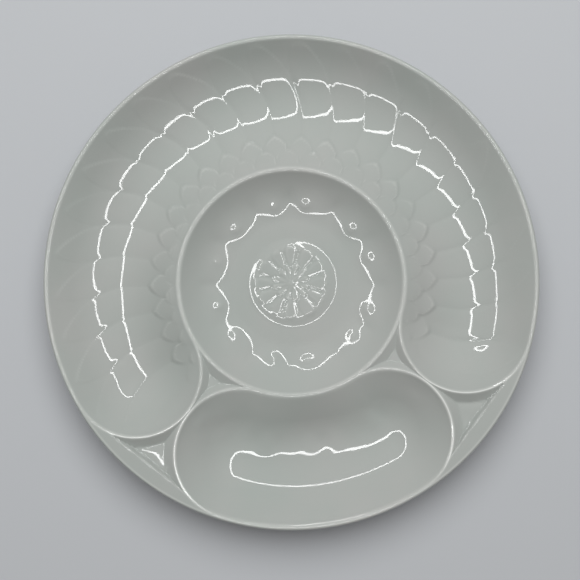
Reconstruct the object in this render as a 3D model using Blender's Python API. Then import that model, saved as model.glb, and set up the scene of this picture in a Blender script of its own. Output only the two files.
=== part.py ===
"""Artichoke plate, 260 mm across: one piece of glazed porcelain, standing on its foot ring.

A centre bowl for the heart, a C-shaped trough for the leaves round it, and a dip well in the gap of the C.
Angles run clockwise from +Y, seen from above. The dip well lies towards -Y.
"""

import math

import bmesh
import bpy
import numpy as np

# Outline, in metres
PLATE_RADIUS = 0.130
PLATE_HEIGHT = 0.027
LIP_RADIUS = 0.0018
LIP_TURN = math.radians(130)
RING_RADIUS = 0.0598
RING_HEIGHT = 0.0225
PINCH_GAP = 0.0010
DIP_HALF_ANGLE = math.radians(24.4)

# Wells
TROUGH_FLOOR = 0.0085
DIP_FLOOR = 0.0085
BOWL_FLOOR = 0.0095
TROUGH_POWER = 2.0
DIP_POWER = 2.0
BOWL_POWER = 2.0
BOWL_FLAT = 0.032
DIP_SHIFT = 0.0045
CREST_ROUND = 0.0022

# Raised heart in the middle of the bowl's floor: middle and width of the slope round it, and its height
HEART_RADIUS = 0.0213
HEART_SLOPE = 0.0066
HEART_LIFT = 0.0011

# Webs between trough and dip well, with their narrow crests and three-cornered recesses
LEVEL_FADE = 0.003
WEB_ROUND = 0.0008
WEB_ROUND_FROM = 0.076
WEB_ROUND_BLEND = 0.014
RIM_ROUND_BLEND = 0.006
POCKET_SLOPE = 0.66
POCKET_TILT = 0.013
POCKET_SIDE = 0.0052
POCKET_INNER_SIDE = 0.0036
POCKET_SIDE_BLEND = 0.012
POCKET_RING_SIDE = 0.0048
POCKET_RIM_SIDE = 0.0018
POCKET_REACH = 0.1212
POCKET_SHOULDER = 0.15
POCKET_FILLET = 0.25
CORNER_POWER = 8

# Underside
WALL = 0.0045
WEB_WALL = 0.0063
UNDER_ROUND = 0.0010
UNDER_EDGE = 0.1262
FOOT_RADIUS = 0.084
FOOT_HALF_WIDTH = 0.0020
FOOT_DRAFT = 0.0009

# How finely the sweeps are stepped
TROUGH_STEPS = 84
DIP_STEPS = 20
WEB_STEPS = 10
CAP_STEPS = 20
ACROSS_STEPS = 7
BOWL_STEPS = 6
LIP_STEPS = 4
UNDER_STEPS = 60
MERGE = 1e-6
NO_SPREAD = 0.002

# Follows from the above
RIM_CREST = PLATE_RADIUS - LIP_RADIUS
MID_RADIUS = (RING_RADIUS + RIM_CREST) / 2
HALF_WIDTH = (RIM_CREST - RING_RADIUS) / 2
BOWL_WALL = RING_RADIUS - BOWL_FLAT
GAP_ANGLE = 2 * math.asin((2 * HALF_WIDTH + PINCH_GAP) / (2 * MID_RADIUS))
TROUGH_HALF_ANGLE = math.pi - DIP_HALF_ANGLE - GAP_ANGLE
WEB_ANGLE = TROUGH_HALF_ANGLE + GAP_ANGLE / 2


def smooth(t):
    """0 below 0, 1 above 1, and an even S between."""
    t = np.clip(t, 0, 1)
    return t * t * (3 - 2 * t)


def inside_slot(r, a, centre_angle, half_angle):
    """Distance inside the crest of a bent, round-ended slot, negative outside."""
    along = np.abs((a - centre_angle + math.pi) % (2 * math.pi) - math.pi)
    past_end = np.maximum(along - half_angle, 0)
    from_middle = np.sqrt(np.maximum(r**2 + MID_RADIUS**2 - 2 * r * MID_RADIUS * np.cos(past_end), 0))
    return HALF_WIDTH - np.where(along <= half_angle, np.abs(r - MID_RADIUS), from_middle)


def inside_trough(r, a):
    return inside_slot(r, a, 0, TROUGH_HALF_ANGLE)


def inside_dip(r, a):
    return inside_slot(r, a, math.pi, DIP_HALF_ANGLE)


def into_dip(r, a):
    """The same, but measured to the dip well's own lowest line, which lies nearer the ring."""
    along = np.minimum((math.pi - np.abs(a)) / DIP_HALF_ANGLE, 1)
    shift = DIP_SHIFT * np.cos(along * math.pi / 2) ** 2
    from_floor = r - MID_RADIUS + shift
    reach = HALF_WIDTH + np.where(from_floor > 0, shift, -shift)
    return np.where(along < 1, HALF_WIDTH * (1 - np.abs(from_floor) / reach), inside_dip(r, a))


def edge_height(r, a):
    """Height of crests and land: an even rise from ring to rim, in the webs levelling out towards the rim."""
    t = np.clip((r - RING_RADIUS) / (RIM_CREST - RING_RADIUS), 0, 1)
    inside = np.maximum(inside_trough(r, a), inside_dip(r, a))
    level = np.exp(-np.maximum(inside, 0) / LEVEL_FADE)
    return RING_HEIGHT + (PLATE_HEIGHT - RING_HEIGHT) * (t + level * t * (1 - t))


def shoulder_width(r, a):
    """Width of the rounded shoulder: broad along ring and rim, narrow on the crests of the webs."""
    in_web = smooth(1.5 - np.abs(np.abs(a) - WEB_ANGLE) / (GAP_ANGLE / 2))
    off_ring = smooth((r - WEB_ROUND_FROM) / WEB_ROUND_BLEND)
    off_rim = smooth((RIM_CREST - r) / RIM_ROUND_BLEND)
    return CREST_ROUND - (CREST_ROUND - WEB_ROUND) * in_web * off_ring * off_rim


def well(inside, width, power, shoulder):
    """0 on the crest and outside it, 1 on the floor, with a rounded shoulder."""
    eased = np.where(inside < shoulder, inside**2 / (2 * shoulder), inside - shoulder / 2)
    t = np.where(inside < 0, 0, eased) / (width - shoulder / 2)
    return 1 - np.clip(1 - t, 0, 1) ** power


def pocket(r, a):
    """Depth of the three-cornered recesses in the webs: straight slopes down to a nearly level floor."""
    outer = smooth((r - MID_RADIUS) / POCKET_SIDE_BLEND + 0.5)
    width = POCKET_INNER_SIDE + (POCKET_SIDE - POCKET_INNER_SIDE) * outer
    sides = [
        -inside_trough(r, a) / width,
        -inside_dip(r, a) / width,
        (r - RING_RADIUS) / POCKET_RING_SIDE,
        (POCKET_REACH - r * np.cos(np.abs(a) - WEB_ANGLE)) / POCKET_RIM_SIDE,
    ]
    near = sum(np.maximum(side, 1e-4) ** -CORNER_POWER for side in sides) ** (-1 / CORNER_POWER)
    near = np.where(near < POCKET_SHOULDER, near**2 / (2 * POCKET_SHOULDER), near - POCKET_SHOULDER / 2)
    bend = np.clip(near - 1 + POCKET_FILLET, 0, 2 * POCKET_FILLET)
    fall = np.minimum(near, 1 + POCKET_FILLET) - bend**2 / (4 * POCKET_FILLET)
    return fall * (POCKET_SLOPE * width + POCKET_TILT * (POCKET_REACH - r))


def top_height(x, y):
    r = np.hypot(x, y)
    a = np.arctan2(x, y)
    edge = edge_height(r, a)
    shoulder = shoulder_width(r, a)
    z = edge - pocket(r, a)
    z -= (edge - TROUGH_FLOOR) * well(inside_trough(r, a), HALF_WIDTH, TROUGH_POWER, shoulder)
    z -= (edge - DIP_FLOOR) * well(into_dip(r, a), HALF_WIDTH, DIP_POWER, shoulder)
    z -= (edge - BOWL_FLOOR) * well(RING_RADIUS - r, BOWL_WALL, BOWL_POWER, CREST_ROUND)
    return z + HEART_LIFT * (1 - smooth((r - HEART_RADIUS) / HEART_SLOPE + 0.5))


def bulge(from_middle, width, floor, edge, power):
    """Underside of one well: its own curve carried on past the crest, one wall lower."""
    t = np.clip(from_middle / width, 0, 1.3)
    slope = (edge - floor) / width * power * t ** (power - 1)
    return floor + (edge - floor) * t**power - WALL * np.sqrt(1 + slope**2)


def under_height(x, y):
    r = np.hypot(x, y)
    a = np.arctan2(x, y)
    edge = edge_height(r, a)
    trough = bulge(HALF_WIDTH - inside_trough(r, a), HALF_WIDTH, TROUGH_FLOOR, edge, TROUGH_POWER)
    dip = bulge(HALF_WIDTH - into_dip(r, a), HALF_WIDTH, DIP_FLOOR, edge, DIP_POWER)
    bowl = bulge(r - BOWL_FLAT, BOWL_WALL, BOWL_FLOOR, RING_HEIGHT, BOWL_POWER)
    web = edge - pocket(r, a) - WEB_WALL
    lowest = np.minimum.reduce([trough, dip, bowl, web])
    total = sum(np.exp((lowest - level) / UNDER_ROUND) for level in (trough, dip, bowl, web))
    z = lowest - UNDER_ROUND * np.log(total)
    return np.where(np.abs(r - FOOT_RADIUS) <= FOOT_HALF_WIDTH + MERGE, 0, z)


def set_heights(verts, height):
    """Move each vertex to the height that the function gives for its place."""
    flat = np.array([v.co[:2] for v in verts])
    for v, z in zip(verts, height(flat[:, 0], flat[:, 1])):
        v.co.z = z


def place(r, a):
    return (r * math.sin(a), r * math.cos(a), 0)


def line(bm, points):
    """A chain of vertices and the edges between them."""
    verts = [bm.verts.new(p) for p in points]
    edges = [bm.edges.new(pair) for pair in zip(verts, verts[1:])]
    return verts + edges


def sweep(bm, chain, centre, angle, steps):
    """Turn the chain clockwise about an upright axis; a negative angle turns it back."""
    bmesh.ops.spin(bm, geom=chain, cent=centre, axis=(0, 0, -1), angle=angle, steps=steps)


def sector(bm, radii, start, angle, steps):
    """A piece of a disc or of a ring."""
    sweep(bm, line(bm, [place(r, start) for r in radii]), (0, 0, 0), angle, steps)


def across():
    """Steps from a slot's middle line to its crest, finer towards the crest."""
    t = np.linspace(0, 1, ACROSS_STEPS + 1)
    return HALF_WIDTH * (5 * t - t**3) / 4


def slot(bm, centre_angle, half_angle, steps):
    """Plan of a bent slot with two round ends."""
    inner = [MID_RADIUS - d for d in across()]
    outer = [MID_RADIUS + d for d in across()]
    sector(bm, inner[::-1] + outer[1:], centre_angle - half_angle, 2 * half_angle, steps)
    for side in (-1, 1):
        end = centre_angle + side * half_angle
        cap = line(bm, [place(r, end) for r in inner])
        sweep(bm, cap, place(MID_RADIUS, end), -side * math.pi, CAP_STEPS)


def cap_spread(r):
    """How far round the plate a slot's end reaches past its middle, at this radius."""
    cosine = (r**2 + MID_RADIUS**2 - HALF_WIDTH**2) / (2 * r * MID_RADIUS)
    spread = math.acos(min(cosine, 1))
    return 0 if spread < NO_SPREAD else spread


def web(bm, side):
    """Plan of the land between an end of the trough and an end of the dip well."""
    end = side * TROUGH_HALF_ANGLE
    before = set(bm.verts)
    tip = bm.verts.new(place(RING_RADIUS, end))
    sweep(bm, [tip], place(MID_RADIUS, end), -side * math.pi, CAP_STEPS)
    arc = list(set(bm.verts) - before)
    edges = list({edge for v in arc for edge in v.link_edges})
    sweep(bm, arc + edges, (0, 0, 0), side * GAP_ANGLE, WEB_STEPS)
    for v in set(bm.verts) - before:
        r = math.hypot(v.co.x, v.co.y)
        spread = cap_spread(r)
        past = side * math.atan2(v.co.x, v.co.y) % (2 * math.pi) - TROUGH_HALF_ANGLE - spread
        turned = TROUGH_HALF_ANGLE + spread + past / GAP_ANGLE * (GAP_ANGLE - 2 * spread)
        v.co = place(r, side * turned)


def top_skin(bm):
    """Plan of the whole top, laid out along the crests, then raised to its heights."""
    heart = [HEART_RADIUS + HEART_SLOPE * t for t in (-0.5, -0.2, 0.2, 0.5)]
    wall = [BOWL_FLAT + BOWL_WALL * t for t in np.linspace(0, 1, BOWL_STEPS + 1) ** 0.8]
    bowl = [0, HEART_RADIUS / 2, *heart, *wall]
    gap_start = TROUGH_HALF_ANGLE
    sector(bm, bowl, -gap_start, 2 * gap_start, TROUGH_STEPS)
    sector(bm, bowl, gap_start, GAP_ANGLE, WEB_STEPS)
    sector(bm, bowl, gap_start + GAP_ANGLE, 2 * DIP_HALF_ANGLE, DIP_STEPS)
    sector(bm, bowl, -gap_start - GAP_ANGLE, GAP_ANGLE, WEB_STEPS)
    slot(bm, 0, TROUGH_HALF_ANGLE, TROUGH_STEPS)
    slot(bm, math.pi, DIP_HALF_ANGLE, DIP_STEPS)
    web(bm, 1)
    web(bm, -1)
    bmesh.ops.remove_doubles(bm, verts=bm.verts, dist=MERGE)
    set_heights(list(bm.verts), top_height)


def lip(bm):
    """Roll the edge of the top skin outwards and under."""
    edge = [e for e in bm.edges if e.is_boundary]
    for step in range(1, LIP_STEPS + 1):
        turn = LIP_TURN * step / LIP_STEPS
        made = bmesh.ops.extrude_edge_only(bm, edges=edge)["geom"]
        edge = [g for g in made if isinstance(g, bmesh.types.BMEdge)]
        r = RIM_CREST + LIP_RADIUS * math.sin(turn)
        for v in (g for g in made if isinstance(g, bmesh.types.BMVert)):
            v.co = place(r, math.atan2(v.co.x, v.co.y))
            v.co.z = PLATE_HEIGHT - LIP_RADIUS * (1 - math.cos(turn))
    return edge


def underside(bm):
    """Underside with the foot ring, as one sweep with its rows on the foot's edges."""
    foot_in = FOOT_RADIUS - FOOT_HALF_WIDTH
    foot_out = FOOT_RADIUS + FOOT_HALF_WIDTH
    radii = [0, BOWL_FLAT / 2, BOWL_FLAT]
    radii += list(np.linspace(0.038, foot_in - FOOT_DRAFT, 9))
    radii += [foot_in, foot_out]
    radii += list(np.linspace(foot_out + FOOT_DRAFT, UNDER_EDGE, 8))
    before = set(bm.verts)
    sector(bm, radii, 0, 2 * math.pi, UNDER_STEPS)
    made = [v for v in bm.verts if v not in before]
    bmesh.ops.remove_doubles(bm, verts=made, dist=MERGE)
    made = [v for v in bm.verts if v not in before]
    set_heights(made, under_height)
    return [e for e in bm.edges if e.is_boundary and e.verts[0] in set(made)]


def clear_scene():
    for obj in list(bpy.data.objects):
        bpy.data.objects.remove(obj, do_unlink=True)


def porcelain():
    material = bpy.data.materials.new("glazed_porcelain")
    material.use_nodes = True
    shader = material.node_tree.nodes["Principled BSDF"]
    shader.inputs["Base Color"].default_value = (0.40, 0.43, 0.40, 1)
    shader.inputs["Roughness"].default_value = 0.08
    return material


def plate_body():
    bm = bmesh.new()
    top_skin(bm)
    rolled = lip(bm)
    below = underside(bm)
    bmesh.ops.bridge_loops(bm, edges=rolled + below)
    bmesh.ops.recalc_face_normals(bm, faces=bm.faces)
    mesh = bpy.data.meshes.new("plate_body")
    bm.to_mesh(mesh)
    bm.free()
    mesh.materials.append(porcelain())
    obj = bpy.data.objects.new("plate_body", mesh)
    bpy.context.scene.collection.objects.link(obj)
    obj.data.shade_smooth()


clear_scene()
plate_body()
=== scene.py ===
"""Artichoke plate, dressed: glazed porcelain with leaf relief in the trough and a rosette in the bowl.

The plate is one piece. Its plan is swept along the crests of its wells, so that crests and lip are rows of
the mesh, and then raised to its heights, relief included. Angles run clockwise from +Y, seen from above.
"""

import collections
import math

import bmesh
import bpy
import numpy as np
from bpy.props import FloatProperty, FloatVectorProperty, IntProperty, PointerProperty
from bpy.types import Operator, Panel, PropertyGroup
from mathutils import Matrix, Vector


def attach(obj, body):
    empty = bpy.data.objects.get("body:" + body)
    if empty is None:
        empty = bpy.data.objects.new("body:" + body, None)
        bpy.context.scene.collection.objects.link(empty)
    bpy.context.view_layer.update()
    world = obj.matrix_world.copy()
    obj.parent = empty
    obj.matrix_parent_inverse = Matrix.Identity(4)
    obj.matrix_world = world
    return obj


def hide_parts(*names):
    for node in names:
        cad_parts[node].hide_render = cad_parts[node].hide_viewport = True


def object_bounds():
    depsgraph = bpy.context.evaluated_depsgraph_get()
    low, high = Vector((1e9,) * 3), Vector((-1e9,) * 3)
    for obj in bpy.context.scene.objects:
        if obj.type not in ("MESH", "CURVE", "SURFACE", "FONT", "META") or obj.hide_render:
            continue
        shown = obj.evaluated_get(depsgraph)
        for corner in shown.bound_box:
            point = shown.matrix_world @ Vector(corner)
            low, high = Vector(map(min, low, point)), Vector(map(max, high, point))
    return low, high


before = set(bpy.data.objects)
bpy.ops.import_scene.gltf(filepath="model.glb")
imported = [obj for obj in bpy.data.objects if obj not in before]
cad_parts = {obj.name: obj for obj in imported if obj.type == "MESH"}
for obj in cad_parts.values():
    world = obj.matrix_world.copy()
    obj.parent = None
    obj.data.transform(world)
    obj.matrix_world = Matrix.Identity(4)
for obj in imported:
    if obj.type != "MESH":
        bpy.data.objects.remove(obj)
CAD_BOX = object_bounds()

bl_info = {
    "name": "Artichoke plate",
    "version": (1, 0, 0),
    "blender": (4, 5, 0),
    "location": "3D View > Sidebar > Plate",
    "description": "Builds a porcelain artichoke plate round its packed solid, with floor, light and camera",
    "category": "Object",
}

MM = 0.001
TURN = 2 * math.pi
BODY = "root"
NODE = "plate_body"
PIECE = "plate_porcelain"
TOLERANCE = 2e-6  # metres, for a point that lies on a line or a level
TOP_SLACK = 5 * TOLERANCE
SEAM_MERGE = 1.2e-5  # metres, between points of two patches that are one
NO_SPREAD = 0.002  # radians, a smaller spread counts as none
BLOCK_STEPS = 20  # steps of a long sweep that are made at once and then repeated
CLOCKWISE = (0, 0, -1)

# A ring of leaves: half-leaf shift, radius of the tips, depth and roundness of the notches between them,
# radius where the leaf comes out from under the next ring, its lift, lean to one side, groove at its seams,
# how much of that groove is left at the leaf's root and at its tip, its width, and the soft edge at the tip
Row = collections.namedtuple("Row", "shift tip notch roundness base lift lean groove root end width soft")
TROUGH_ROWS = (
    Row(0.0, 0.1240, 0.0150, 1.5, 0.0700, 0.00022, 0.40, 0.00010, 1.0, 1.0, 0.0018, 0.0032),
    Row(0.0, 0.1060, 0.0014, 2.0, 0.0850, 0.00015, 0.40, 0.00032, 0.50, 1.0, 0.0020, 0.0047),
    Row(0.5, 0.0750, 0.0060, 1.5, 0.0590, 0.00080, 0.30, 0.00012, 0.3, 1.0, 0.0020, 0.0035),
    Row(0.0, 0.0670, 0.0050, 2.0, 0.0560, 0.00050, 0.30, 0.00010, 0.3, 1.0, 0.0020, 0.0030),
)
BOWL_ROWS = (
    Row(0.5, 0.0195, 0.0030, 1.5, 0.0070, 0.00030, 0.20, 0.00034, 0.6, 1.0, 0.0015, 0.0028),
    Row(0.0, 0.0098, 0.0018, 1.6, 0.0030, 0.00030, 0.20, 0.00025, 0.0, 1.0, 0.0010, 0.0018),
)
STEP_WIDTH = 0.0014  # metres, the eased step from one leaf to the next
CROWN_POWER = 1.5  # how a leaf's swelling grows towards its tip
CROWN_FALL = 0.7  # share of that swelling that is gone at the seams

# Unevenness from leaf to leaf: how much, how fast it changes round the ring, and where it starts
Uneven = collections.namedtuple("Uneven", "amount pace phase")
LEAF_LIFT = Uneven(0.25, 2.4, 1.3)
LEAF_SEAM = Uneven(0.25, 1.9, -0.33)
LEAF_TIP = Uneven(0.6 * MM, 1.7, 1)
BOSS_LIFT = Uneven(0.25, 2.4, 0.5)
BOSS_ASIDE = Uneven(0.12, 3.1, 1)
BOWL_SEAM = Uneven(0.3, 1.9, 0)
ROSETTE_SWAY = ((0.05, 5, 1), (0.04, 3, 0))  # shares of a leaf, waves in a full turn, start

# Where an effect sets in or is strongest, and the width over which it changes: metres, or radians
Zone = collections.namedtuple("Zone", "place width")
LOWER_RIGHT = Zone(1.6, 0.35)
HALFWAY_UP = Zone(101 * MM, 6 * MM)
LEAF_ROOTS = Zone(91 * MM, 6 * MM)
UPPER_RIGHT = (Zone(math.radians(8), 0.3), Zone(math.radians(75), 0.75))
UPPER_LEFT = Zone(math.radians(-18), math.radians(14))
LAST_SEAM = Zone(math.radians(4.5), math.radians(4))
BELLY = (Zone(70 * MM, 10 * MM), Zone(92 * MM, 22 * MM))
OFF_CREST = Zone(1.2 * MM, 3.5 * MM)
DIP_WAVES = (Zone(-4 * MM, 6 * MM), Zone(10 * MM, 10 * MM))
DIP_WAVES_OFF_CREST = Zone(3 * MM, 6 * MM)
BOWL_GROOVE = (Zone(-5 * MM, 8 * MM), Zone(3 * MM, 8 * MM))

# Form, in metres where nothing else is said
SHIFT_FADE = math.radians(25)  # before the trough's ends, where its lowest line returns to the middle
LAND_FADE = 3 * MM  # inside a crest, where the level of the webs fades out
WEB_REACH = 1.5  # half gaps from a web's middle to where its crests begin to sharpen
WEB_RING_EASE = 14 * MM
WEB_RIM_EASE = 6 * MM
RECESS_BLEND = 12 * MM  # width of the change from inner to outer recess
RECESS_CORNER = 14.0  # higher is a sharper corner between two slopes
RECESS_NEAREST = 1e-3  # smallest share of a slope that is counted
RECESS_TOP_EASE = 0.15  # share of a slope that is rounded at its top
RECESS_FOOT_EASE = 0.1  # the same at its foot, to both sides
DOME_CORNER = 0.8 * MM  # rounding of the corners of a dome's outline
DOME_EDGE = 0.25 * MM  # softness of that outline
DOME_RISE = 2 * MM  # distance from it in which the dome rises
DOME_FAR = 40 * MM  # farther outside makes no difference
SWIRL_EASE = 4 * MM
END_FADE = math.radians(16)  # past the trough's ends, where its leaves fade out
END_START = 0.2  # share of that fade after which it sets in
WAVE_LONG = 3.4 * MM
WAVE_SHORT = 2.1 * MM
WAVE_SHORT_SHARE = 0.7
WAVE_ACROSS = 4 * MM
BOWL_LEAF_IN = 9 * MM
BOWL_LEAF_OUT = 11 * MM
BOWL_LEAF_LESS = 0.15  # how much lower the bowl's leaves are at the back
BOWL_GROOVE_WIDTH = 3 * MM
BUD_RADIUS = 3.4 * MM
CREST_SHARE = 0.5  # of the shoulder, over which the glaze is thinned and a highlight is painted
PAST_CREST = 1.3  # how far a bulge of the underside goes on, in half widths of its well
RECESS_WALL = 1.4  # thickness under a recess, in walls

# Mesh: steps round the plate and across its wells, and rows of the bowl and the underside
TROUGH_STEPS = 640
DIP_STEPS = 60
WEB_STEPS = 24
CAP_STEPS = 80
TROUGH_ACROSS = 33
DIP_ACROSS = 20
BOWL_SPLIT = 0.0535  # radius where the bowl's columns become half as many
SPLIT_GAP = 0.8 * MM
RING_CIRCLES = 9
BOWL_CIRCLES = 49
BOWL_SPACING = 0.9  # below 1 is finer towards the ring
UNDER_CIRCLES_IN = 26
UNDER_CIRCLES_OUT = 16
LIP_STEPS = 8
HOLLOW_SCALE = 500  # per metre, where the glaze is well pooled

# Glaze and clay: noise scales per metre, the spans that masks are cut from, bump heights in metres
TONE_NOISE = (22, 3)  # scale and detail
TONE_SPAN = (0.3, 0.7)
RIPPLE_DETAIL = 2
RIPPLE_SPAN = (0.3, 0.7)
SPECK_SCALE = 260
SPECK_EDGE = (0.05, 0.12)
SPECK_RARE = (0.985, 0.99)
# Crest masks: thinned glaze with a painted highlight, near white on the web crests
CREST_THIN_AND_HIGHLIGHT = (0.1, 1.0)
CREST_SHARP = (1.0, 2.0)
DEPTH_RIDGE = (0.46, 0.1)
DEPTH_POOLED = (0.55, 0.95)
RIDGE_SHARE = (0, 0.7)
GLOSS_SHARES = (0.7, 1.4)
GLAZE_IOR = 1.52
GLAZE_RIPPLE_SCALE = 90
GLAZE_RIPPLE = 0.00004
BARE_RIPPLE_SCALE = 900
BARE_RIPPLE = 0.0001
BARE_TONE_SPAN = (0.35, 0.65)
BARE_WEAR = (0.86, 1.04)
BARE_ROUGHNESS = (0.7, 0.85)
FLOOR_ROUGHNESS = 0.9
MIX_INPUTS = (0, 6, 7)  # factor and the two colours of a mix node
MIX_RESULT = 2

# Stage, in metres
FLOOR_HALF_WIDTH = 2.0
LAMP_SEGMENTS = 160  # sides of the ring lamp's oval
KEY_SIZE = 1.3
CLIP_START = 0.01


def length(name, text, default):
    return FloatProperty(name=name, description=text, default=default, min=0, unit="LENGTH", precision=5)


def angle(name, text, degrees):
    return FloatProperty(name=name, description=text, default=math.radians(degrees), subtype="ANGLE")


def colour(name, text, rgb):
    limits = {"size": 3, "min": 0, "max": 1}
    return FloatVectorProperty(name=name, description=text, default=rgb, subtype="COLOR", **limits)


def share(name, text, default):
    return FloatProperty(name=name, description=text, default=default, min=0)


def offset(name, text, default):
    return FloatProperty(name=name, description=text, default=default, unit="LENGTH", precision=5)


def leaf_count(name, text, default):
    return IntProperty(name=name, description=text, default=default, min=3)


class PlateSizes(PropertyGroup):
    """Outline, wells, webs and underside."""

    plate_radius: length("Plate radius", "Outermost edge of the rim lip", 0.130)
    plate_height: length("Plate height", "Top of the rim above the table", round(CAD_BOX[1][2], 5))
    lip_radius: length("Lip radius", "Rounding of the rim lip", 0.0012)
    lip_turn: angle("Lip turn", "How far the lip rolls under", 130)
    ring_radius: length("Ring radius", "Crest of the ring round the bowl", 0.0598)
    ring_height: length("Ring height", "Crest of that ring above the table", 0.0225)
    pinch_gap: length("Pinch gap", "Between the crests of trough and dip well", 0.0010)
    dip_half_angle: angle("Dip half angle", "Half of the arc of the dip well's middle line", 24.4)
    trough_floor: length("Trough floor", "Lowest line of the leaf trough", 0.0085)
    dip_floor: length("Dip floor", "Lowest line of the dip well", 0.0085)
    bowl_floor: length("Bowl floor", "Floor of the centre bowl", 0.0095)
    trough_power: share("Trough curve below", "Curve of the trough's underside", 2.0)
    trough_curved: share("Trough curved share", "Curved part of the way to the crest, at the back", 0.85)
    trough_curved_sides: share("Trough curved share at sides", "The same left and right", 0.68)
    dip_power: share("Dip curve below", "Curve of the dip well's underside", 2.0)
    dip_curved: share("Dip curved share", "Curved part of the way to the crest", 0.56)
    bowl_power: share("Bowl curve", "Higher is a flatter floor with steeper walls", 2.0)
    bowl_flat: length("Bowl flat", "Radius of the bowl's level floor", 0.032)
    dip_shift: length("Dip shift", "How far its lowest line lies towards the ring", 0.0047)
    trough_shift: length("Trough shift", "How far its lowest line lies towards the ring, at the back", 0.0008)
    trough_shift_left: length("Trough shift left", "The same at the left", 0.0016)
    trough_shift_right: length("Trough shift right", "The same at the right", 0.0022)
    crest_round: length("Crest rounding", "Width of the shoulder on each side of a crest", 0.0014)
    web_round: length("Web rounding", "The same on the crests of the webs", 0.0008)
    web_round_from: length("Web rounding from", "Radius where those crests begin to sharpen", 0.076)
    pocket_slope: share("Recess slope", "Fall of the slopes beside the wells", 0.66)
    pocket_tilt: share("Recess tilt", "Fall of a recess's floor towards the middle", 0.013)
    pocket_dome: length("Recess dome", "Rise of the floor's middle in the outer recesses", 0.00045)
    pocket_side: length("Recess side", "Width of the slopes beside the wells, in the outer recesses", 0.0052)
    pocket_inner_side: length("Inner recess side", "The same in the inner recesses", 0.0036)
    pocket_ring_side: length("Recess ring side", "Width of the slope beside the ring", 0.0048)
    pocket_rim_side: length("Recess rim side", "Width of the slope beside the rim", 0.0015)
    pocket_reach: length("Recess reach", "From the plate's middle to a recess's straight outer edge", 0.1212)
    wall: length("Wall", "Thickness of the porcelain", 0.0045)
    under_round: length("Underside rounding", "Softens the grooves between the bulges below", 0.0010)
    under_edge: length("Underside edge", "Where the underside meets the rolled lip", 0.1262)
    foot_radius: length("Foot radius", "Middle of the foot ring", 0.084)
    foot_half_width: length("Foot half width", "Half of the flat that the plate stands on", 0.0020)
    foot_draft: length("Foot draft", "How far the foot's sides lean", 0.0009)


class PlateRelief(PropertyGroup):
    """Leaves in the trough and the rosette in the bowl."""

    leaves: leaf_count("Trough leaves", "Leaves in a full turn", 34)
    bowl_leaves: leaf_count("Bowl leaves", "Leaves in each ring of the rosette", 12)
    leaf_start: angle("Leaf start", "Turns the leaves of the trough", 1.1)
    bowl_start: angle("Rosette start", "Turns the rosette", 7.6)
    swirl: share("Swirl", "Lean of the leaf edges, in degrees per millimetre", 0.24)
    swirl_from: length("Swirl from", "Radius where the lean begins", 0.094)
    shallow_left: share("Shallow left", "How much shallower the trough's seams are at the left", 0.4)
    shallow_right: share("Shallow right", "The same halfway up, at the upper right", 0.7)
    deep_left: share("Deep left", "How much deeper they are at the roots, upper left", 0.6)
    deep_ends: share("Deep ends", "How much deeper the last seam at each end is", 0.8)
    rows_back: length("Rows outward back", "How much farther out the rows lie at the back", 0.0035)
    rows_right: length("Rows outward right", "The same on the right", 0.0030)
    flat_right: share("Flat right", "How much less its leaves swell on the right", 0.5)
    belly_lift: length("Leaf belly", "Swelling of the trough's leaves", 0.00018)
    bowl_lift: length("Bowl leaf lift", "Height of the leaves on the bowl's wall", 0.0005)
    bowl_groove: length("Bowl leaf groove", "Depth of the grooves between those leaves", 0.0003)
    leaf_ring: length("Bowl leaf ring", "Radius of the ring of tips of those leaves", 0.0420)
    leaf_drift: length("Bowl leaf drift", "How far that ring lies to the right", 0.0012)
    boss_lift: length("Boss lift", "Height of the boss at each of those tips", 0.00042)
    boss_radius: length("Boss radius", "Size of such a boss", 0.0027)
    bud_lift: length("Bud lift", "Height of the bud in the middle of the heart", 0.0004)
    dip_wave: length("Dip waves", "Height of the waves on the dip well's ring side", 0.00012)
    heart_radius: length("Heart radius", "Middle of the slope round the raised heart", 0.0213)
    heart_slope: length("Heart slope", "Width of that slope", 0.0066)
    heart_lift: length("Heart lift", "Height of the raised heart", 0.0011)
    depth: share("Relief depth", "Scales the whole relief", 1.0)


class PlateFinish(PropertyGroup):
    """Glaze and bare porcelain."""

    glaze: colour("Glaze", "Glaze of middling depth", (0.425, 0.437, 0.427))
    glaze_pooled: colour("Pooled glaze", "Glaze that has run into a hollow", (0.404, 0.420, 0.408))
    # Lighter colour on crests and convex edges: partly thinned glaze, partly a painted highlight
    glaze_thin_and_highlight: colour("Thin glaze", "Glaze drawn thin over a crest", (0.518, 0.526, 0.514))
    # Near-white colour on the web crests: thinnest glaze and a painted highlight
    glaze_crest_and_highlight: colour("Crest glaze", "Thinnest glaze, on the crests of the webs", (0.81, 0.81, 0.80))
    tint_cool: colour("Cool tint", "Multiplies the glaze where its hue is coolest", (0.930, 0.960, 0.945))
    tint_warm: colour("Warm tint", "The same where it is warmest", (1.0, 0.985, 0.985))
    speck: colour("Speck", "Iron specks in the clay", (0.20, 0.17, 0.13))
    bare: colour("Bare porcelain", "Unglazed flat of the foot", (0.60, 0.57, 0.51))
    roughness: share("Glaze roughness", "Gloss of the glaze", 0.04)


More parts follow.
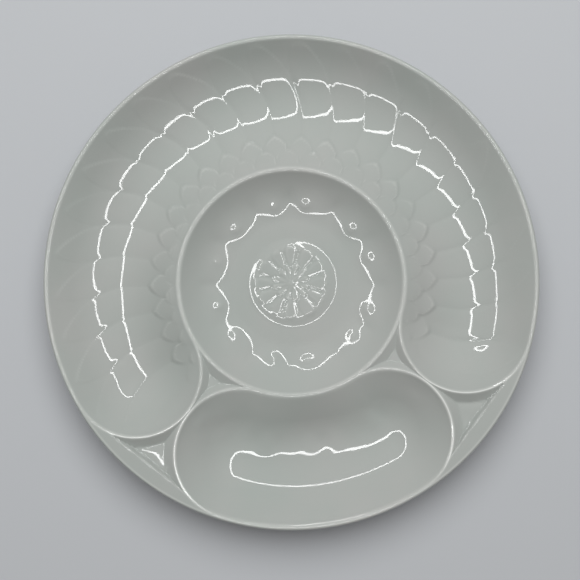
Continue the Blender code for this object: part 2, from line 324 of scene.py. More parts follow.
class PlateStage(PropertyGroup):
    """Floor, light and camera."""

    floor: colour("Floor", "Colour of the floor", (0.509, 0.515, 0.543))
    roll: angle("Camera roll", "How far the plate is turned in the picture", 7.75)
    camera_height: length("Camera height", "Camera above the table", 0.65)
    frame_width: length("Picture width", "What the picture spans at the height of the rim", 0.3034)
    aim_right: offset("Aim right", "Picture centre from the plate", -0.0008)
    aim_up: offset("Aim up", "Picture centre from the plate", -0.0040)
    ambient: share("Ambient", "Strength of the even light", 0.22)
    key_power: share("Key power", "Soft lamp from the back of the picture, in watts", 17.0)
    key_colour: colour("Key colour", "Colour of the soft lamp", (0.97, 1.0, 0.985))
    ambient_colour: colour("Ambient colour", "Colour of the even light", (1.0, 0.975, 0.94))
    key_back: length("Key back", "Soft lamp towards the back of the picture", 0.53)
    key_height: length("Key height", "Soft lamp above the table", 1.18)
    lamp_strength: share("Ring lamp strength", "Brightness of the ring lamp", 14.0)
    lamp_height: length("Ring lamp height", "Ring lamp above the table", 0.265)
    lamp_right: offset("Ring lamp right", "Middle of the ring lamp from the plate", -0.0421)
    lamp_up: offset("Ring lamp up", "Middle of the ring lamp from the plate", 0.0426)
    lamp_half_width: length("Ring lamp half width", "Half of the ring lamp across the picture", 0.1186)
    lamp_half_depth: length("Ring lamp half depth", "Half of the ring lamp up the picture", 0.1645)
    lamp_band: length("Ring lamp band", "Width of the lit band", 0.015)


class PlateSettings(PropertyGroup):
    """All that the panel shows."""

    sizes: PointerProperty(type=PlateSizes)
    relief: PointerProperty(type=PlateRelief)
    finish: PointerProperty(type=PlateFinish)
    stage: PointerProperty(type=PlateStage)


def smooth(t):
    """0 below 0, 1 above 1, and an even S between."""
    t = np.clip(t, 0, 1)
    return t * t * (3 - 2 * t)


def polar(x, y):
    return np.hypot(x, y), np.arctan2(x, y)


def rise(x, zone):
    """0 before the zone's place, 1 beyond its width."""
    return smooth((x - zone.place) / zone.width)


def band(x, zones):
    """Rises over the first zone and falls over the second."""
    first, second = zones
    return rise(x, first) * (1 - rise(x, second))


def hump(x, zone):
    """1 at the zone's place, falling off to both sides."""
    return np.exp(-(((x - zone.place) / zone.width) ** 2))


def vary(number, count, uneven, index=1):
    """An uneven value for each leaf of a ring, the same again after a full turn."""
    waves = round(uneven.pace * count / TURN)
    return uneven.amount * np.sin(TURN * waves * number / count + uneven.phase * index)


class Form:
    """Heights of the plate over its plan, from the sizes in the panel."""

    def __init__(self, sizes, relief):
        self.s = sizes
        self.f = relief
        self.rim_crest = sizes.plate_radius - sizes.lip_radius
        self.mid = (sizes.ring_radius + self.rim_crest) / 2
        self.half = (self.rim_crest - sizes.ring_radius) / 2
        self.gap = 2 * math.asin((2 * self.half + sizes.pinch_gap) / (2 * self.mid))
        self.trough_half_angle = math.pi - sizes.dip_half_angle - self.gap
        self.web_angle = self.trough_half_angle + self.gap / 2
        self.bowl_wall = sizes.ring_radius - sizes.bowl_flat

    def inside_slot(self, r, a, centre, half_angle):
        """Distance inside the crest of a bent, round-ended slot, negative outside."""
        along = np.abs((a - centre + math.pi) % TURN - math.pi)
        past_end = np.maximum(along - half_angle, 0)
        squared = r**2 + self.mid**2 - 2 * r * self.mid * np.cos(past_end)
        from_end = np.sqrt(np.maximum(squared, 0))
        return self.half - np.where(along <= half_angle, np.abs(r - self.mid), from_end)

    def inside_trough(self, r, a):
        return self.inside_slot(r, a, 0, self.trough_half_angle)

    def inside_dip(self, r, a):
        return self.inside_slot(r, a, math.pi, self.s.dip_half_angle)

    def from_shifted(self, r, shift):
        """Distance inside the crest when the lowest line is shifted towards the ring."""
        from_floor = r - self.mid + shift
        reach = self.half + np.where(from_floor > 0, shift, -shift)
        return self.half * (1 - np.abs(from_floor) / reach)

    def into_trough(self, r, a):
        """Distance inside the trough's crest, measured to its own lowest line."""
        s = self.s
        sideways = np.where(a > 0, s.trough_shift_right, s.trough_shift_left)
        shift = s.trough_shift + (sideways - s.trough_shift) * np.sin(a) ** 2
        shift *= 1 - smooth((np.abs(a) - self.trough_half_angle) / SHIFT_FADE + 1)
        before_end = np.abs(a) < self.trough_half_angle
        return np.where(before_end, self.from_shifted(r, shift), self.inside_trough(r, a))

    def into_dip(self, r, a):
        """The same for the dip well."""
        along = np.minimum((math.pi - np.abs(a)) / self.s.dip_half_angle, 1)
        shift = self.s.dip_shift * np.cos(along * math.pi / 2) ** 2
        return np.where(along < 1, self.from_shifted(r, shift), self.inside_dip(r, a))

    def edge(self, r, a):
        """Height of crests and land: rises evenly from ring to rim, in the webs levelling out at the rim."""
        s = self.s
        t = np.clip((r - s.ring_radius) / (self.rim_crest - s.ring_radius), 0, 1)
        inside = np.maximum(self.inside_trough(r, a), self.inside_dip(r, a))
        level = np.exp(-np.maximum(inside, 0) / LAND_FADE)
        return s.ring_height + (s.plate_height - s.ring_height) * (t + level * t * (1 - t))

    def shoulder(self, r, a):
        """Width of the rounded shoulder: broad along ring and rim, narrow on the crests of the webs."""
        s = self.s
        in_web = smooth(WEB_REACH - np.abs(np.abs(a) - self.web_angle) / (self.gap / 2))
        off_ring = smooth((r - s.web_round_from) / WEB_RING_EASE)
        off_rim = smooth((self.rim_crest - r) / WEB_RIM_EASE)
        return s.crest_round - (s.crest_round - s.web_round) * in_web * off_ring * off_rim

    def eased(self, inside, width, k):
        """Share of the way from crest to floor, with a rounded start of width k."""
        rounded = np.where(inside < k, inside**2 / (2 * k), inside - k / 2)
        return np.where(inside < 0, 0, rounded) / (width - k / 2)

    def well(self, inside, width, power, k):
        """0 on the crest and outside it, 1 on the floor, with a rounded shoulder of width k."""
        return 1 - np.clip(1 - self.eased(inside, width, k), 0, 1) ** power

    def straight_well(self, inside, width, curved, k):
        """The same with straight walls: only the given share of the way from floor to crest is curved."""
        up = 1 - np.clip(self.eased(inside, width, k), 0, 1)
        climb = np.where(up < curved, up**2 / (2 * curved), up - curved / 2)
        return 1 - climb / (1 - curved / 2)

    def pocket(self, r, a):
        """Depth of the three-cornered recesses in the webs: straight slopes down to a nearly level floor."""
        s = self.s
        corner = RECESS_CORNER
        top = RECESS_TOP_EASE
        foot = RECESS_FOOT_EASE
        outer = smooth((r - self.mid) / RECESS_BLEND + 0.5)
        width = s.pocket_inner_side + (s.pocket_side - s.pocket_inner_side) * outer
        sides = [
            (-self.inside_trough(r, a), width),
            (-self.inside_dip(r, a), width),
            (r - s.ring_radius, s.pocket_ring_side),
            (s.pocket_reach - r * np.cos(np.abs(a) - self.web_angle), s.pocket_rim_side),
        ]
        shares = [np.maximum(distance / reach, RECESS_NEAREST) for distance, reach in sides]
        near = sum(part**-corner for part in shares) ** (-1 / corner)
        near = np.where(near < top, near**2 / (2 * top), near - top / 2)
        fall = np.minimum(near, 1 + foot) - np.clip(near - (1 - foot), 0, 2 * foot) ** 2 / (4 * foot)
        tilt = s.pocket_tilt * (1 + outer)
        outside = [np.minimum(reach - distance, DOME_FAR) for distance, reach in sides]
        inset = -DOME_CORNER * np.log(sum(np.exp(part / DOME_CORNER) for part in outside))
        inset = DOME_EDGE * np.logaddexp(0, inset / DOME_EDGE)
        dome = s.pocket_dome * outer * (1 - np.exp(-inset / DOME_RISE))
        return fall * (s.pocket_slope * width + tilt * (s.pocket_reach - r)) - dome

    def shingles(self, r, turn, count, rows, crowned, carve):
        """Height of overlapping leaves. Each row lies over the one outside it and ends in a row of tips."""
        height = np.zeros_like(r)
        for index, (row, swell) in enumerate(zip(rows, crowned)):
            spot = turn + row.shift
            across = spot - np.floor(spot)
            step = STEP_WIDTH * count / (TURN * r + STEP_WIDTH)
            number = np.floor(spot) + smooth((across - 1 + step) / step)
            seam = np.round(spot)
            off_axis = np.abs(2 * across - 1)
            uneven = 1 + vary(number, count, LEAF_LIFT, index)
            cut = carve * (1 + vary(seam, count, LEAF_SEAM))
            end = row.tip + vary(number, count, LEAF_TIP, index) - row.notch * off_axis**row.roundness
            cover = smooth((end - r) / row.soft + 0.5)
            along = np.clip((r - row.base) / (row.tip - row.base), 0, 1)
            from_seam = np.abs(spot - seam) * TURN * r / count
            valley = row.groove * cut * np.exp(-((from_seam / row.width) ** 2))
            crown = swell * along**CROWN_POWER * (1 - CROWN_FALL * off_axis**2)
            crown += row.lean * (spot - number - 0.5)
            leaf = row.lift * uneven * crown - valley * (row.root + (row.end - row.root) * along)
            height += cover * (leaf - height)
        return height

    def trough_leaves(self, r, a):
        """Rows of leaves round the trough, leaning as they climb the outer wall, fading at its ends."""
        f = self.f
        past = r - f.swirl_from
        climb = (past + np.sqrt(past**2 + SWIRL_EASE**2)) / 2
        lean = math.radians(f.swirl) * climb / MM
        turn = (a - f.leaf_start + lean) * f.leaves / TURN
        to_right = np.maximum(np.sin(a), 0) ** 2
        to_left = np.maximum(-np.sin(a), 0) ** 2
        past_end = np.abs(a) - self.trough_half_angle
        carve = 1 - f.shallow_left * to_left
        carve -= f.shallow_right * hump(r, HALFWAY_UP) * band(a, UPPER_RIGHT)
        carve += f.deep_left * (1 - rise(r, LEAF_ROOTS)) * hump(a, UPPER_LEFT)
        carve *= 1 + f.deep_ends * hump(past_end, LAST_SEAM)
        from_rows = r - f.rows_right * to_right - f.rows_back * np.maximum(np.cos(a), 0) ** 2
        swell = 1 - f.flat_right * to_right
        height = self.shingles(from_rows, turn, f.leaves, TROUGH_ROWS, (swell, swell, 1, 1), carve)
        belly = band(r, BELLY) * swell
        height += f.belly_lift * belly * np.sin((turn - np.floor(turn)) * math.pi) ** 2
        off_crest = rise(self.inside_trough(r, a), OFF_CREST)
        return height * off_crest * (1 - smooth(past_end / END_FADE - END_START))

    def dip_waves(self, r, a):
        """The ring side of the dip well is not quite even, as in a hand-worked mould."""
        inward = self.mid - r
        fade = band(inward, DIP_WAVES) * rise(self.inside_dip(r, a), DIP_WAVES_OFF_CREST)
        from_middle = (a % TURN - math.pi) * self.mid
        wave = np.sin(from_middle / WAVE_LONG)
        wave += WAVE_SHORT_SHARE * np.sin(from_middle / WAVE_SHORT + 1)
        return self.f.dip_wave * fade * wave * np.sin(inward / WAVE_ACROSS)

    def rosette(self, r, a):
        """Leaves on the bowl's wall with a boss at each tip, and a raised heart with rings of its own."""
        f = self.f
        count = f.bowl_leaves
        turn = (a - f.bowl_start) * count / TURN
        for size, waves, start in ROSETTE_SWAY:
            turn += size * np.sin(waves * a + start)
        height = self.shingles(r, turn, count, BOWL_ROWS, (1, 1), 1)
        number = np.floor(turn)
        seam = np.round(turn)
        across = turn - number
        outward = r - f.leaf_ring - f.leaf_drift * np.sin(a)
        body = smooth(outward / BOWL_LEAF_IN + 1) * (1 - smooth(outward / BOWL_LEAF_OUT))
        lower = 1 - BOWL_LEAF_LESS * np.cos(a)
        height += f.bowl_lift * lower * body * np.sin(across * math.pi) ** 2
        aside = (across - 0.5 + vary(number, count, BOSS_ASIDE)) * TURN * f.leaf_ring / count
        boss = np.exp(-(outward**2 + aside**2) / f.boss_radius**2)
        height += f.boss_lift * (1 + vary(number, count, BOSS_LIFT)) * boss
        from_seam = (turn - seam) * TURN * r / count
        groove = band(outward, BOWL_GROOVE)
        groove *= (1 + vary(seam, count, BOWL_SEAM)) * np.exp(-((from_seam / BOWL_GROOVE_WIDTH) ** 2))
        heart = 1 - smooth((r - f.heart_radius) / f.heart_slope + 0.5)
        bud = np.exp(-((r / BUD_RADIUS) ** 2))
        return height - f.bowl_groove * groove + f.heart_lift * heart + f.bud_lift * bud

    def macro(self, r, a):
        """Top without relief."""
        s = self.s
        edge = self.edge(r, a)
        k = self.shoulder(r, a)
        z = edge - self.pocket(r, a)
        sideways = np.sin(a) ** 2 * (1 - rise(a, LOWER_RIGHT))
        curved = s.trough_curved + (s.trough_curved_sides - s.trough_curved) * sideways
        z -= (edge - s.trough_floor) * self.straight_well(self.into_trough(r, a), self.half, curved, k)
        z -= (edge - s.dip_floor) * self.straight_well(self.into_dip(r, a), self.half, s.dip_curved, k)
        z -= (edge - s.bowl_floor) * self.well(s.ring_radius - r, self.bowl_wall, s.bowl_power, s.crest_round)
        return z

    def top(self, x, y):
        r, a = polar(x, y)
        beyond = self.trough_leaves(r, a) + self.dip_waves(r, a)
        relief = np.where(r < self.s.ring_radius, self.rosette(r, a), beyond)
        return self.macro(r, a) + self.f.depth * relief

    def top_normal(self, x, y):
        """Upward normal of the top, from its slopes."""
        step = 0.02 * MM
        along_x = (self.top(x + step, y) - self.top(x - step, y)) / (2 * step)
        along_y = (self.top(x, y + step) - self.top(x, y - step)) / (2 * step)
        normal = np.stack([-along_x, -along_y, np.ones_like(x)], axis=1)
        return normal / np.linalg.norm(normal, axis=1, keepdims=True)

    def hollow(self, x, y):
        """How hollow the top is, per metre: below 0 on a ridge, above 0 in a groove."""
        step = 0.5 * MM
        around = self.top(x + step, y) + self.top(x - step, y) + self.top(x, y + step) + self.top(x, y - step)
        return (around - 4 * self.top(x, y)) / step**2

    def crest(self, x, y):
        """1 on the crests of ring and rim, up to 2 on the sharper ones of the webs, 0 away from them; there
        the glaze colour is lightened, thinned glaze with a painted highlight.
        """
        s = self.s
        r, a = polar(x, y)
        shoulder = self.shoulder(r, a)
        sharp = (s.crest_round - shoulder) / (s.crest_round - s.web_round)
        crests = [r - s.ring_radius, self.rim_crest - r, self.inside_trough(r, a), self.inside_dip(r, a)]
        beside = np.minimum.reduce(np.abs(crests)) / (CREST_SHARE * shoulder)
        return (1 + sharp) * np.exp(-(beside**2))

    def bulge(self, from_middle, width, floor, edge, power):
        """Underside of one well: its own curve carried on past the crest, one wall lower."""
        t = np.clip(from_middle / width, 0, PAST_CREST)
        slope = (edge - floor) / width * power * t ** (power - 1)
        return floor + (edge - floor) * t**power - self.s.wall * np.sqrt(1 + slope**2)

    def under(self, x, y):
        s = self.s
        r, a = polar(x, y)
        edge = self.edge(r, a)
        levels = [
            self.bulge(self.half - self.into_trough(r, a), self.half, s.trough_floor, edge, s.trough_power),
            self.bulge(self.half - self.into_dip(r, a), self.half, s.dip_floor, edge, s.dip_power),
            self.bulge(r - s.bowl_flat, self.bowl_wall, s.bowl_floor, s.ring_height, s.bowl_power),
            edge - self.pocket(r, a) - RECESS_WALL * s.wall,
        ]
        lowest = np.minimum.reduce(levels)
        total = sum(np.exp((lowest - level) / s.under_round) for level in levels)
        z = lowest - s.under_round * np.log(total)
        return np.where(np.abs(r - s.foot_radius) <= s.foot_half_width + TOLERANCE, 0, z)


def place(r, a):
    return (r * math.sin(a), r * math.cos(a), 0)


def set_heights(verts, height):
    """Move each vertex to the height that the function gives for its place."""
    flat = np.array([v.co[:2] for v in verts])
    for v, z in zip(verts, height(flat[:, 0], flat[:, 1])):
        v.co.z = z


def line(bm, points):
    """A chain of vertices and the edges between them."""
    verts = [bm.verts.new(p) for p in points]
    edges = [bm.edges.new(pair) for pair in zip(verts, verts[1:])]
    return verts + edges


def swept(points, centre, turn, steps):
    """A chain of points turned clockwise about an upright axis, in a bmesh of its own."""
    bm = bmesh.new()
    blocks = max(steps // BLOCK_STEPS, 1)
    about = {"cent": centre, "axis": CLOCKWISE}
    chain = line(bm, points)
    bmesh.ops.spin(bm, geom=chain, angle=turn / blocks, steps=steps // blocks, **about)
    if blocks > 1:
        block = bm.verts[:] + bm.edges[:] + bm.faces[:]
        rest = turn * (blocks - 1) / blocks
        bmesh.ops.spin(bm, geom=block, angle=rest, steps=blocks - 1, use_duplicate=True, **about)
    return bm


def join(bm, patch):
    """Move the patch into the bmesh."""
    mesh = as_mesh("patch", patch)
    bm.from_mesh(mesh)
    bpy.data.meshes.remove(mesh)


def sector(bm, radii, start, turn, steps):
    """A piece of a disc or of a ring."""
    join(bm, swept([place(r, start) for r in radii], (0, 0, 0), turn, steps))


def add_object(name, data):
    obj = bpy.data.objects.new(name, data)
    bpy.context.scene.collection.objects.link(obj)
    return obj


def as_mesh(name, bm):
    mesh = bpy.data.meshes.new(name)
    bm.to_mesh(mesh)
    bm.free()
    return mesh


def open_edges(verts):
    return list({edge for v in verts for edge in v.link_edges if edge.is_boundary})


class Builder:
    """Lays out the plan of the plate along its crests and gives it its heights."""

    def __init__(self, form):
        self.form = form
        self.s = form.s

    def across(self, steps):
        """Steps from a slot's middle line to its crest, finer towards the crest."""
        t = np.linspace(0, 1, steps + 1)
        return self.form.half * (9 * t - t**3) / 8

    def slot(self, bm, centre, half_angle, steps, across_steps):
        """Plan of a bent slot with two round ends."""
        mid = self.form.mid
        inner = [mid - d for d in self.across(across_steps)]
        outer = [mid + d for d in self.across(across_steps)]
        sector(bm, inner[::-1] + outer[1:], centre - half_angle, 2 * half_angle, steps)
        for side in (-1, 1):
            end = centre + side * half_angle
            cap = [place(r, end) for r in inner]
            join(bm, swept(cap, place(mid, end), -side * math.pi, CAP_STEPS))

    def cap_spread(self, r):
        """How far round the plate a slot's end reaches past its middle, at this radius."""
        mid = self.form.mid
        cosine = (r**2 + mid**2 - self.form.half**2) / (2 * r * mid)
        spread = math.acos(min(cosine, 1))
        return 0 if spread < NO_SPREAD else spread

    def web(self, side):
        """Plan of the land between an end of the trough and an end of the dip well."""
        half_angle = self.form.trough_half_angle
        gap = self.form.gap
        end = side * half_angle
        bm = bmesh.new()
        tip = bm.verts.new(place(self.s.ring_radius, end))
        centre = place(self.form.mid, end)
        half_turn = -side * math.pi
        bmesh.ops.spin(bm, geom=[tip], cent=centre, axis=CLOCKWISE, angle=half_turn, steps=CAP_STEPS)
        arc = bm.verts[:] + bm.edges[:]
        bmesh.ops.spin(bm, geom=arc, cent=(0, 0, 0), axis=CLOCKWISE, angle=side * gap, steps=WEB_STEPS)
        for v in bm.verts:
            r = math.hypot(v.co.x, v.co.y)
            spread = self.cap_spread(r)
            past = side * math.atan2(v.co.x, v.co.y) % TURN - half_angle - spread
            turned = half_angle + spread + past / gap * (gap - 2 * spread)
            v.co = place(r, side * turned)
        return bm

    def ring_sectors(self, bm, radii, divide):
        """A ring or disc whose columns meet those of trough, webs and dip well, or each second or fourth."""
        half_angle = self.form.trough_half_angle
        gap = self.form.gap
        before = set(bm.verts)
        sector(bm, radii, -half_angle, 2 * half_angle, TROUGH_STEPS // divide)
        sector(bm, radii, half_angle, gap, WEB_STEPS // divide)
        sector(bm, radii, half_angle + gap, 2 * self.s.dip_half_angle, DIP_STEPS // divide)
        sector(bm, radii, -half_angle - gap, gap, WEB_STEPS // divide)
        made = [v for v in bm.verts if v not in before]
        bmesh.ops.remove_doubles(bm, verts=made, dist=SEAM_MERGE)
        return [v for v in made if v.is_valid]

    def top_skin(self, bm):
        near_ring = np.linspace(BOWL_SPLIT + SPLIT_GAP, self.s.ring_radius, RING_CIRCLES)
        self.ring_sectors(bm, near_ring, divide=1)
        self.slot(bm, 0, self.form.trough_half_angle, TROUGH_STEPS, TROUGH_ACROSS)
        self.slot(bm, math.pi, self.s.dip_half_angle, DIP_STEPS, DIP_ACROSS)
        join(bm, self.web(1))
        join(bm, self.web(-1))
        bmesh.ops.remove_doubles(bm, verts=bm.verts, dist=SEAM_MERGE)
        inner_loop = [e for e in bm.edges if e.is_boundary and e.verts[0].co.length < self.s.ring_radius]
        circles = BOWL_SPLIT * np.linspace(0, 1, BOWL_CIRCLES) ** BOWL_SPACING
        bowl = self.ring_sectors(bm, circles, divide=2)
        bmesh.ops.bridge_loops(bm, edges=inner_loop + open_edges(bowl))
        set_heights(list(bm.verts), self.form.top)

    def lip(self, bm):
        """Roll the edge of the top skin outwards and under."""
        s = self.s
        edge = [e for e in bm.edges if e.is_boundary]
        for step in range(1, LIP_STEPS + 1):
            turn = s.lip_turn * step / LIP_STEPS
            made = bmesh.ops.extrude_edge_only(bm, edges=edge)["geom"]
            edge = [g for g in made if isinstance(g, bmesh.types.BMEdge)]
            r = self.form.rim_crest + s.lip_radius * math.sin(turn)
            for v in (g for g in made if isinstance(g, bmesh.types.BMVert)):
                v.co = place(r, math.atan2(v.co.x, v.co.y))
                v.co.z = s.plate_height - s.lip_radius * (1 - math.cos(turn))
        return edge

    def underside(self, bm):
        """Underside with the foot ring, its rows on the foot's edges."""
        s = self.s
        foot_in = s.foot_radius - s.foot_half_width
        foot_out = s.foot_radius + s.foot_half_width
        radii = list(np.linspace(0, foot_in - s.foot_draft, UNDER_CIRCLES_IN))
        radii += [foot_in, foot_out]
        radii += list(np.linspace(foot_out + s.foot_draft, s.under_edge, UNDER_CIRCLES_OUT))
        made = self.ring_sectors(bm, radii, divide=4)
        set_heights(made, self.form.under)
        return open_edges(made)

    def build(self, name):
        bm = bmesh.new()
        self.top_skin(bm)
        rolled = self.lip(bm)
        below = self.underside(bm)
        bmesh.ops.bridge_loops(bm, edges=rolled + below)
        bmesh.ops.recalc_face_normals(bm, faces=bm.faces)
        loose = [e for e in bm.edges if not e.is_manifold]
        if loose:
            raise RuntimeError(f"{name} has {len(loose)} open edges")
        for face in bm.faces:
            face.smooth = True
            face.material_index = 1 if max(v.co.z for v in face.verts) < TOLERANCE else 0
        mesh = as_mesh(name, bm)
        self.shade_top(mesh)
        return add_object(name, mesh)

    def shade_top(self, mesh):
        """Give the top skin the normals of its own form, so that gloss runs clean over the relief."""
        points = vertex_vectors(mesh, "co").astype(float)
        normals = vertex_vectors(mesh, "normal")
        x, y, z = points.T
        within = np.hypot(x, y) < self.form.rim_crest + TOLERANCE
        on_top = within & (np.abs(self.form.top(x, y) - z) < TOP_SLACK)
        normals[on_top] = self.form.top_normal(x[on_top], y[on_top])
        mesh.normals_split_custom_set_from_vertices(normals)
        # Glaze masks: hollows get pooled glaze; crests and convex edges get a lighter colour, thinned glaze
        # with a painted highlight
        add_values(mesh, "crest", self.form.crest(x, y) * on_top)
        pooled = np.tanh(self.form.hollow(x, y) / HOLLOW_SCALE)
        add_values(mesh, "glaze_pool_and_edge_light", 0.5 + 0.5 * pooled * on_top)


def vertex_vectors(mesh, name):
    values = np.empty(len(mesh.vertices) * 3, np.float32)
    mesh.vertices.foreach_get(name, values)
    return values.reshape(-1, 3)


def add_values(mesh, name, values):
    layer = mesh.attributes.new(name, "FLOAT", "POINT")
    layer.data.foreach_set("value", values.astype(np.float32))


def new_material(name):
    material = bpy.data.materials.new(name)
    material.use_nodes = True
    return material, material.node_tree


def noise(tree, coords, scale, detail):
    node = tree.nodes.new("ShaderNodeTexNoise")
    node.inputs["Scale"].default_value = scale
    node.inputs["Detail"].default_value = detail
    tree.links.new(coords, node.inputs["Vector"])
    return node.outputs["Fac"]


def mix_colour(tree, factor, first, second, blend="MIX"):
    node = tree.nodes.new("ShaderNodeMix")
    node.data_type = "RGBA"
    node.blend_type = blend
    targets = [node.inputs[index] for index in MIX_INPUTS]
    for socket, value in zip(targets, (factor, first, second)):
        if isinstance(value, bpy.types.NodeSocket):
            tree.links.new(value, socket)
        elif socket.type == "RGBA":
            socket.default_value = (*value, 1)
        else:
            socket.default_value = value
    return node.outputs[MIX_RESULT]


def map_range(tree, value, span, to=(0, 1)):
    node = tree.nodes.new("ShaderNodeMapRange")
    tree.links.new(value, node.inputs["Value"])
    for name, limit in zip(("From Min", "From Max", "To Min", "To Max"), (*span, *to)):
        node.inputs[name].default_value = limit
    return node.outputs["Result"]


def clay_group():
    """Shared by glaze and bare clay: slow tone changes, sparse specks and a fine ripple."""
    tree = bpy.data.node_groups.new("clay_variation", "ShaderNodeTree")
    tree.interface.new_socket("Coordinates", in_out="INPUT", socket_type="NodeSocketVector")
    tree.interface.new_socket("Ripple Scale", in_out="INPUT", socket_type="NodeSocketFloat")
    for name in ("Tone", "Speck", "Ripple"):
        tree.interface.new_socket(name, in_out="OUTPUT", socket_type="NodeSocketFloat")
    start = tree.nodes.new("NodeGroupInput")
    end = tree.nodes.new("NodeGroupOutput")
    coords = start.outputs["Coordinates"]
    tree.links.new(noise(tree, coords, *TONE_NOISE), end.inputs["Tone"])
    cells = tree.nodes.new("ShaderNodeTexVoronoi")
    cells.inputs["Scale"].default_value = SPECK_SCALE
    tree.links.new(coords, cells.inputs["Vector"])
    dots = map_range(tree, cells.outputs["Distance"], SPECK_EDGE, (1, 0))
    pick = tree.nodes.new("ShaderNodeSeparateColor")
    tree.links.new(cells.outputs["Color"], pick.inputs["Color"])
    rare = map_range(tree, pick.outputs["Red"], SPECK_RARE)
    both = tree.nodes.new("ShaderNodeMath")
    both.operation = "MULTIPLY"
    tree.links.new(dots, both.inputs[0])
    tree.links.new(rare, both.inputs[1])
    tree.links.new(both.outputs["Value"], end.inputs["Speck"])
    ripple = tree.nodes.new("ShaderNodeTexNoise")
    ripple.inputs["Detail"].default_value = RIPPLE_DETAIL
    tree.links.new(coords, ripple.inputs["Vector"])
    tree.links.new(start.outputs["Ripple Scale"], ripple.inputs["Scale"])
    tree.links.new(ripple.outputs["Fac"], end.inputs["Ripple"])
    return tree


def place_group(tree, group, ripple_scale):
    coords = tree.nodes.new("ShaderNodeTexCoord")
    node = tree.nodes.new("ShaderNodeGroup")
    node.node_tree = group
    node.inputs["Ripple Scale"].default_value = ripple_scale
    tree.links.new(coords.outputs["Object"], node.inputs["Coordinates"])
    return node


def mesh_values(tree, name):
    node = tree.nodes.new("ShaderNodeAttribute")
    node.attribute_name = name
    return node.outputs["Fac"]


def add_bump(tree, height, distance, shader):
    bump = tree.nodes.new("ShaderNodeBump")
    bump.inputs["Distance"].default_value = distance
    tree.links.new(height, bump.inputs["Height"])
    tree.links.new(bump.outputs["Normal"], shader.inputs["Normal"])


def glaze_material(finish, group):
    material, tree = new_material("glazed_porcelain")
    shader = tree.nodes["Principled BSDF"]
    clay = place_group(tree, group, GLAZE_RIPPLE_SCALE)
    depth = mesh_values(tree, "glaze_pool_and_edge_light")
    crest = mesh_values(tree, "crest")
    thin_and_highlight_mask = map_range(tree, crest, CREST_THIN_AND_HIGHLIGHT)
    sharp = map_range(tree, crest, CREST_SHARP)
    ridge = map_range(tree, depth, DEPTH_RIDGE, RIDGE_SHARE)
    pooled = map_range(tree, depth, DEPTH_POOLED)
    warmth = map_range(tree, clay.outputs["Tone"], TONE_SPAN)
    tint = mix_colour(tree, warmth, finish.tint_cool, finish.tint_warm)
    base = finish.glaze
    # Pooled glaze darkens hollows; crests and convex edges are lightened, partly thinned glaze, partly a
    # painted highlight
    coats = (finish.glaze_pooled, finish.glaze_thin_and_highlight, finish.glaze_thin_and_highlight, finish.glaze_crest_and_highlight)
    for mask, coat in zip((pooled, ridge, thin_and_highlight_mask, sharp), coats):
        base = mix_colour(tree, mask, base, coat)
    base = mix_colour(tree, 1.0, base, tint, "MULTIPLY")
    tree.links.new(base, shader.inputs["Base Color"])
    limits = [finish.roughness * part for part in GLOSS_SHARES]
    gloss = map_range(tree, clay.outputs["Tone"], TONE_SPAN, limits)
    tree.links.new(gloss, shader.inputs["Roughness"])
    shader.inputs["IOR"].default_value = GLAZE_IOR
    add_bump(tree, clay.outputs["Ripple"], GLAZE_RIPPLE, shader)
    return material


def bare_material(finish, group):
    material, tree = new_material("bare_foot")
    shader = tree.nodes["Principled BSDF"]
    clay = place_group(tree, group, BARE_RIPPLE_SCALE)
    worn = map_range(tree, clay.outputs["Tone"], BARE_TONE_SPAN, BARE_WEAR)
    base = mix_colour(tree, 1.0, finish.bare, worn, "MULTIPLY")
    base = mix_colour(tree, clay.outputs["Speck"], base, finish.speck)
    tree.links.new(base, shader.inputs["Base Color"])
    rough = map_range(tree, clay.outputs["Ripple"], RIPPLE_SPAN, BARE_ROUGHNESS)
    tree.links.new(rough, shader.inputs["Roughness"])
    add_bump(tree, clay.outputs["Ripple"], BARE_RIPPLE, shader)
    return material


def floor_material(stage):
    material, tree = new_material("floor_paper")
    shader = tree.nodes["Principled BSDF"]
    shader.inputs["Base Color"].default_value = (*stage.floor, 1)
    shader.inputs["Roughness"].default_value = FLOOR_ROUGHNESS
    shader.inputs["Specular IOR Level"].default_value = 0
    return material


def lamp_material(stage):
    material, tree = new_material("ring_lamp")
    tree.nodes.remove(tree.nodes["Principled BSDF"])
    glow = tree.nodes.new("ShaderNodeEmission")
    glow.inputs["Strength"].default_value = stage.lamp_strength
    tree.links.new(glow.outputs["Emission"], tree.nodes["Material Output"].inputs["Surface"])
    return material


class PLATE_OT_body(Operator):
    """Build the plate: wells, crests, leaf relief, lip, underside and foot ring in one closed piece"""

    bl_idname = "artichoke_plate.body"
    bl_label = "Plate body"
    bl_options = {"REGISTER", "UNDO"}

    def execute(self, context):
        settings = context.scene.artichoke_plate
        plate = Builder(Form(settings.sizes, settings.relief)).build(PIECE)
        group = clay_group()
        plate.data.materials.append(glaze_material(settings.finish, group))
        plate.data.materials.append(bare_material(settings.finish, group))
        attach(plate, BODY)
        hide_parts(NODE)
        return {"FINISHED"}


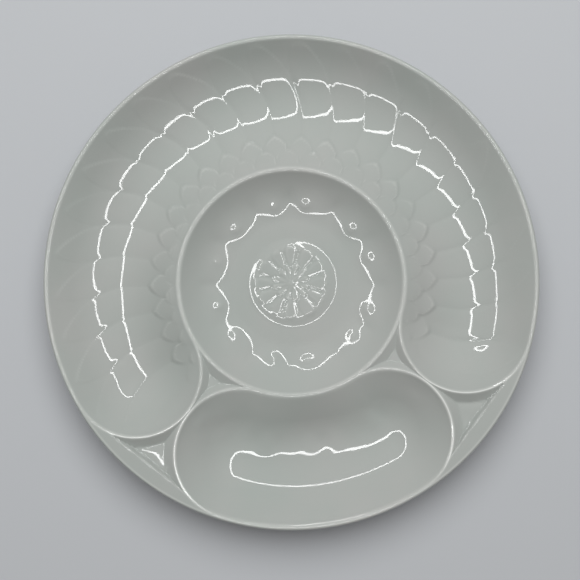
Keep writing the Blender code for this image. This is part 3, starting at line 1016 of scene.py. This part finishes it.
class PLATE_OT_stage(Operator):
    """Add the floor, the soft light, the ring lamp and the camera"""

    bl_idname = "artichoke_plate.stage"
    bl_label = "Floor, light and camera"
    bl_options = {"REGISTER", "UNDO"}

    def execute(self, context):
        scene = context.scene
        stage = scene.artichoke_plate.stage
        self.add_floor(stage)
        self.add_ring_lamp(stage)
        self.add_key(stage)
        self.add_ambient(scene, stage)
        self.add_camera(scene, stage, scene.artichoke_plate.sizes.plate_height)
        scene.view_settings.view_transform = "Standard"
        return {"FINISHED"}

    @staticmethod
    def in_picture(stage, right, up):
        """Place on the table of a point given right and up in the picture, from the plate's middle."""
        cosine = math.cos(stage.roll)
        sine = math.sin(stage.roll)
        return (right * cosine + up * sine, up * cosine - right * sine)

    def add_floor(self, stage):
        bm = bmesh.new()
        bmesh.ops.create_grid(bm, x_segments=1, y_segments=1, size=FLOOR_HALF_WIDTH)
        floor = add_object("floor", as_mesh("floor", bm))
        floor.data.materials.append(floor_material(stage))

    def add_ring_lamp(self, stage):
        """A thin oval of light over the plate, for the fine lines in the gloss."""
        bm = bmesh.new()
        made = bmesh.ops.create_circle(bm, cap_ends=True, segments=LAMP_SEGMENTS, radius=1)["verts"]
        bmesh.ops.scale(bm, vec=(stage.lamp_half_width, stage.lamp_half_depth, 1), verts=made)
        oval = bm.faces[:]
        bmesh.ops.inset_individual(bm, faces=oval, thickness=stage.lamp_band, use_even_offset=True)
        bmesh.ops.delete(bm, geom=oval, context="FACES_ONLY")
        bmesh.ops.rotate(bm, cent=(0, 0, 0), matrix=Matrix.Rotation(-stage.roll, 3, "Z"), verts=bm.verts)
        x, y = self.in_picture(stage, stage.lamp_right, stage.lamp_up)
        bmesh.ops.translate(bm, vec=(x, y, stage.lamp_height), verts=bm.verts)
        lamp = add_object("ring_lamp", as_mesh("ring_lamp", bm))
        lamp.data.materials.append(lamp_material(stage))
        lamp.visible_camera = False
        lamp.visible_diffuse = False
        lamp.visible_shadow = False

    def add_key(self, stage):
        data = bpy.data.lights.new("key", "AREA")
        data.shape = "DISK"
        data.size = KEY_SIZE
        data.color = stage.key_colour
        data.energy = stage.key_power
        key = add_object("key", data)
        x, y = self.in_picture(stage, 0, stage.key_back)
        key.location = (x, y, stage.key_height)
        aim = -key.location
        key.rotation_euler = aim.to_track_quat("-Z", "Y").to_euler()
        key.visible_glossy = False

    def add_ambient(self, scene, stage):
        world = bpy.data.worlds.new("ambient")
        world.use_nodes = True
        sky = world.node_tree.nodes["Background"]
        sky.inputs["Color"].default_value = (*stage.ambient_colour, 1)
        sky.inputs["Strength"].default_value = stage.ambient
        scene.world = world

    def add_camera(self, scene, stage, rim_height):
        data = bpy.data.cameras.new("camera")
        camera = add_object("camera", data)
        x, y = self.in_picture(stage, stage.aim_right, stage.aim_up)
        camera.location = (x, y, stage.camera_height)
        camera.rotation_euler = (0, 0, -stage.roll)
        data.angle = 2 * math.atan(stage.frame_width / 2 / (stage.camera_height - rim_height))
        data.clip_start = CLIP_START
        scene.camera = camera


class PLATE_PT_panel(Panel):
    """Sizes, relief, finish and stage of the plate"""

    bl_idname = "PLATE_PT_panel"
    bl_label = "Artichoke plate"
    bl_space_type = "VIEW_3D"
    bl_region_type = "UI"
    bl_category = "Plate"

    def draw(self, context):
        settings = context.scene.artichoke_plate
        for operator in OPERATORS:
            self.layout.operator(operator.bl_idname)
        for group in (settings.sizes, settings.relief, settings.finish, settings.stage):
            box = self.layout.box()
            for name in group.__annotations__:
                box.prop(group, name)


OPERATORS = (PLATE_OT_body, PLATE_OT_stage)
CLASSES = (PlateSizes, PlateRelief, PlateFinish, PlateStage, PlateSettings, *OPERATORS, PLATE_PT_panel)


def register():
    for cls in CLASSES:
        bpy.utils.register_class(cls)
    bpy.types.Scene.artichoke_plate = PointerProperty(type=PlateSettings)


def unregister():
    del bpy.types.Scene.artichoke_plate
    for cls in reversed(CLASSES):
        bpy.utils.unregister_class(cls)


def main():
    register()
    bpy.ops.artichoke_plate.body()
    bpy.ops.artichoke_plate.stage()


if __name__ == "__main__":
    main()
